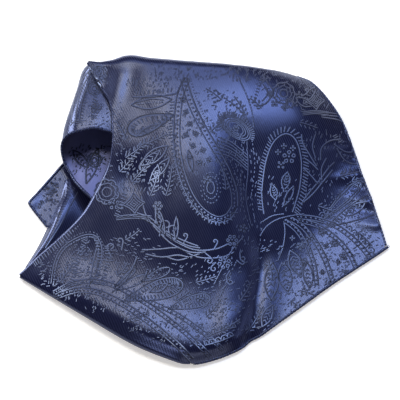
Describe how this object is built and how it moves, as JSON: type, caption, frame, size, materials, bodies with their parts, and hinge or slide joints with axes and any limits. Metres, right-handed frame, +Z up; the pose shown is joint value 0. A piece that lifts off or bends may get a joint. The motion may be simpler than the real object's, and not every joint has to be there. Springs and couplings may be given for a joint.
{
  "type": "pocket square",
  "caption": "Figured silk pocket square, folded over and dropped in a low heap on a table, with a rolled hem, an open curl at the left and a small tail of cloth.",
  "frame": {"origin": "centre of the bounding box in plan, on the table that the heap lies on", "axes": "+X to the right as the heap is seen, +Y away from the viewer, +Z up from the table"},
  "size_m": [0.2524, 0.2314, 0.0332],
  "materials": {
    "navy_satin": "satin weave silk with a slightly lighter woven figure",
    "navy_satin_inside": "the same silk, in the shade of the hidden folds",
    "navy_hem": "rolled silk hem with whip stitches"
  },
  "bodies": {
    "root": {"upper_sheet": "navy_satin", "curl": "navy_satin", "strip": "navy_satin", "tail": "navy_satin", "under_layers": "navy_satin_inside", "hem_front": "navy_hem", "hem_right": "navy_hem", "hem_curl": "navy_hem", "hem_tail": "navy_hem"}
  },
  "joints": []
}
